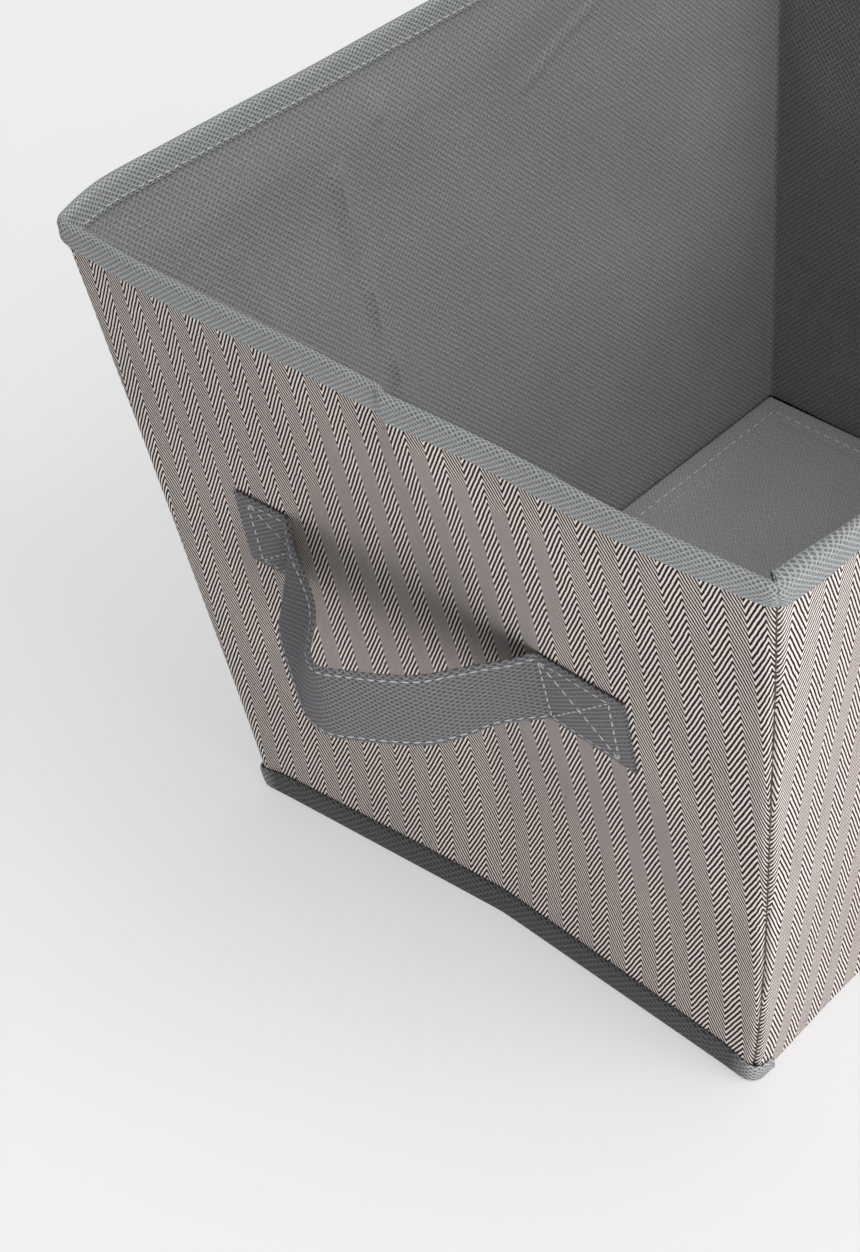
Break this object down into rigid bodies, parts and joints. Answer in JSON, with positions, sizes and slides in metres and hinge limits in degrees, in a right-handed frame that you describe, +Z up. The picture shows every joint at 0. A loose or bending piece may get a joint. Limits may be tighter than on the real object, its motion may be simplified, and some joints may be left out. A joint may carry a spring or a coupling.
{
  "type": "fabric storage bin",
  "caption": "Open collapsible fabric storage bin with leaning board-stiffened walls, creased ends with strap handles, and a lift-out base insert.",
  "frame": {"origin": "centre of the base on the floor", "axes": "+Z up; +Y along the length towards the back end; +X towards the right long side; the front handle faces -Y"},
  "size_m": [0.282, 0.4144, 0.25],
  "materials": {
    "herringbone": "dark brown and cream herringbone weave, matt",
    "lining": "mid-grey spun-bonded non-woven cloth with a dimpled grid",
    "rim_tape": "blue-grey ribbed non-woven tape",
    "foot_tape": "charcoal non-woven tape",
    "strap": "grey dimpled non-woven strap",
    "thread": "pale grey polyester sewing thread",
    "base_cloth": "charcoal non-woven cloth",
    "insert_cover": "grey non-woven sleeve with stitched hem",
    "board": "raw grey chipboard"
  },
  "bodies": {
    "left_side": {"outer_cloth_left": "herringbone", "board_left": "board", "lining_left": "lining", "rim_binding_left": "rim_tape", "rim_thread_left": "thread", "corner_seam_front_left": "herringbone", "corner_seam_back_left": "herringbone", "base_cloth": "base_cloth", "base_lining": "lining"},
    "right_side": {"outer_cloth_right": "herringbone", "board_right": "board", "lining_right": "lining", "rim_binding_right": "rim_tape", "rim_thread_right": "thread", "corner_seam_front_right": "herringbone", "corner_seam_back_right": "herringbone"},
    "front_left_half": {"outer_cloth_front_left": "herringbone", "board_front_left": "board", "lining_front_left": "lining", "rim_binding_front_left": "rim_tape", "rim_thread_front_left": "thread", "foot_binding_front_left": "foot_tape", "handle_tab_front_left": "strap", "tab_thread_front_left": "thread"},
    "front_handle_left": {"handle_strap_front_left": "strap"},
    "front_right_half": {"outer_cloth_front_right": "herringbone", "board_front_right": "board", "lining_front_right": "lining", "rim_binding_front_right": "rim_tape", "rim_thread_front_right": "thread", "foot_binding_front_right": "foot_tape", "handle_tab_front_right": "strap", "tab_thread_front_right": "thread"},
    "front_handle_right": {"handle_strap_front_right": "strap"},
    "back_left_half": {"outer_cloth_back_left": "herringbone", "board_back_left": "board", "lining_back_left": "lining", "rim_binding_back_left": "rim_tape", "rim_thread_back_left": "thread", "foot_binding_back_left": "foot_tape", "handle_tab_back_left": "strap", "tab_thread_back_left": "thread"},
    "back_handle_left": {"handle_strap_back_left": "strap"},
    "back_right_half": {"outer_cloth_back_right": "herringbone", "board_back_right": "board", "lining_back_right": "lining", "rim_binding_back_right": "rim_tape", "rim_thread_back_right": "thread", "foot_binding_back_right": "foot_tape", "handle_tab_back_right": "strap", "tab_thread_back_right": "thread"},
    "back_handle_right": {"handle_strap_back_right": "strap"},
    "base_insert": {"insert_board": "board", "insert_cover": "insert_cover", "insert_thread": "thread"}
  },
  "joints": [
    {"name": "fold", "type": "hinge", "parent": "left_side", "child": "front_left_half", "pos_m": [-0.10057, -0.14657, 0], "axis": [-0.118, -0.1377, 0.9834], "range_deg": [0, 83], "deforming": ["base_cloth", "base_lining", "foot_binding_front_left", "foot_binding_front_right", "foot_binding_back_left", "foot_binding_back_right", "handle_strap_front_left", "handle_strap_front_right", "handle_strap_back_left", "handle_strap_back_right"]},
    {"name": "front_crease", "type": "hinge", "parent": "front_left_half", "child": "front_right_half", "pos_m": [0, -0.15131, 0], "axis": [0, -0.1386, 0.9903], "range_deg": [-164.77, 0]},
    {"name": "front_right_corner", "type": "hinge", "parent": "front_right_half", "child": "right_side", "pos_m": [0.10057, -0.14657, 0], "axis": [0.118, -0.1377, 0.9834], "range_deg": [0, 83]},
    {"name": "back_left_corner", "type": "hinge", "parent": "left_side", "child": "back_left_half", "pos_m": [-0.10057, 0.14657, 0], "axis": [-0.118, 0.1377, 0.9834], "range_deg": [-83, 0]},
    {"name": "back_crease", "type": "hinge", "parent": "back_left_half", "child": "back_right_half", "pos_m": [0, 0.15131, 0], "axis": [0, 0.1386, 0.9903], "range_deg": [0, 164.77]},
    {"name": "insert_lift", "type": "slide", "parent": "left_side", "child": "base_insert", "axis": [0, 0, 1], "range_m": [0, 0.3]},
    {"name": "front_handle_swing", "type": "hinge", "parent": "front_left_half", "child": "front_handle_left", "pos_m": [0, -0.17124, 0.146], "axis": [1, 0, 0], "range_deg": [-50, 0]},
    {"name": "front_handle_swing_right", "type": "hinge", "parent": "front_right_half", "child": "front_handle_right", "pos_m": [0, -0.17124, 0.146], "axis": [1, 0, 0], "range_deg": [-50, 0]},
    {"name": "back_handle_swing", "type": "hinge", "parent": "back_left_half", "child": "back_handle_left", "pos_m": [0, 0.17124, 0.146], "axis": [-1, 0, 0], "range_deg": [-50, 0]},
    {"name": "back_handle_swing_right", "type": "hinge", "parent": "back_right_half", "child": "back_handle_right", "pos_m": [0, 0.17124, 0.146], "axis": [-1, 0, 0], "range_deg": [-50, 0]}
  ],
  "couplings": [
    {"joint": "front_crease", "follows": "fold", "ratio": -1.9792},
    {"joint": "front_right_corner", "follows": "fold", "ratio": 1},
    {"joint": "back_left_corner", "follows": "fold", "ratio": -1},
    {"joint": "back_crease", "follows": "fold", "ratio": 1.9792},
    {"joint": "front_handle_swing_right", "follows": "front_handle_swing", "ratio": 1},
    {"joint": "back_handle_swing_right", "follows": "back_handle_swing", "ratio": 1}
  ]
}
